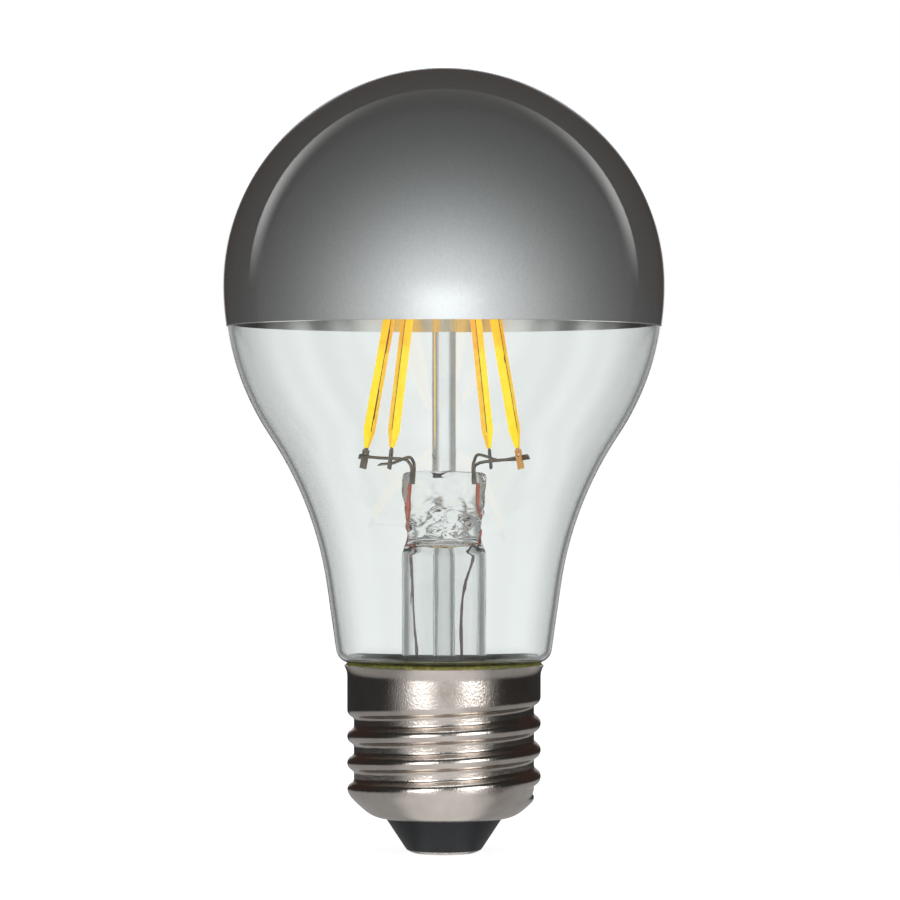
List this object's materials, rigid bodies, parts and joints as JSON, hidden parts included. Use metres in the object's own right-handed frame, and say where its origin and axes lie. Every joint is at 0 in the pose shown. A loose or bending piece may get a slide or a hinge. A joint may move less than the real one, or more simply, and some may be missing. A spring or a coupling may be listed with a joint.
{
  "type": "led bulb",
  "caption": "Clear glass LED filament bulb with a mirrored crown, upright light filaments on a glass stem and a screw cap.",
  "frame": {"origin": "centre of the bulb's axis at the lowest point of the centre contact", "axes": "+Z along the bulb's axis from the cap to the crown, +X to the right and +Y away from the viewer in the pictured view"},
  "size_m": [0.06, 0.06, 0.107],
  "materials": {
    "envelope_glass": "clear blown glass",
    "stem_glass": "clear pressed glass",
    "mirror_coat": "vapour-coated mirror, slightly smoky",
    "cap_metal": "nickel plate",
    "contact_metal": "nickel plate",
    "solder": "dull solder",
    "black_insulator": "semi-gloss black",
    "cement": "matt basing cement",
    "phosphor": "soft silicone with yellow phosphor",
    "strip_ceramic": "matt",
    "copper_tab": "bare copper alloy",
    "nickel_wire": "drawn nickel wire",
    "seal_copper": "oxidised copper-clad wire",
    "lead_copper": "tinned copper wire",
    "board_laminate": "glass-fibre laminate",
    "capacitor_sleeve": "shrink sleeve",
    "ferrite": "matt ferrite",
    "resistor_body": "lacquered",
    "chip_plastic": "moulded"
  },
  "bodies": {
    "root": {"glass_envelope": "envelope_glass", "crown_mirror": "mirror_coat", "screw_shell": "cap_metal", "insulator": "black_insulator", "centre_contact": "contact_metal", "contact_solder": "solder", "basing_cement": "cement", "stem_flare": "stem_glass", "exhaust_tube": "stem_glass", "stem_rod": "stem_glass", "filament_coat_1": "phosphor", "filament_strip_1": "strip_ceramic", "lower_tab_1": "nickel_wire", "upper_tab_1": "nickel_wire", "lead_wire_1": "nickel_wire", "support_wire_1": "nickel_wire", "filament_coat_2": "phosphor", "filament_strip_2": "strip_ceramic", "lower_tab_2": "nickel_wire", "upper_tab_2": "nickel_wire", "lead_wire_2": "nickel_wire", "support_wire_2": "nickel_wire", "filament_coat_3": "phosphor", "filament_strip_3": "strip_ceramic", "lower_tab_3": "nickel_wire", "upper_tab_3": "nickel_wire", "lead_wire_3": "nickel_wire", "support_wire_3": "nickel_wire", "filament_coat_4": "phosphor", "filament_strip_4": "strip_ceramic", "lower_tab_4": "copper_tab", "upper_tab_4": "nickel_wire", "lead_wire_4": "nickel_wire", "support_wire_4": "nickel_wire", "seal_wire_left": "seal_copper", "outer_lead_left": "lead_copper", "seal_wire_right": "seal_copper", "outer_lead_right": "lead_copper", "driver_board": "board_laminate", "electrolytic_capacitor": "capacitor_sleeve", "inductor": "ferrite", "fuse_resistor": "resistor_body", "rectifier": "chip_plastic", "driver_chip": "chip_plastic", "live_lead": "lead_copper", "neutral_lead": "lead_copper"}
  },
  "joints": []
}
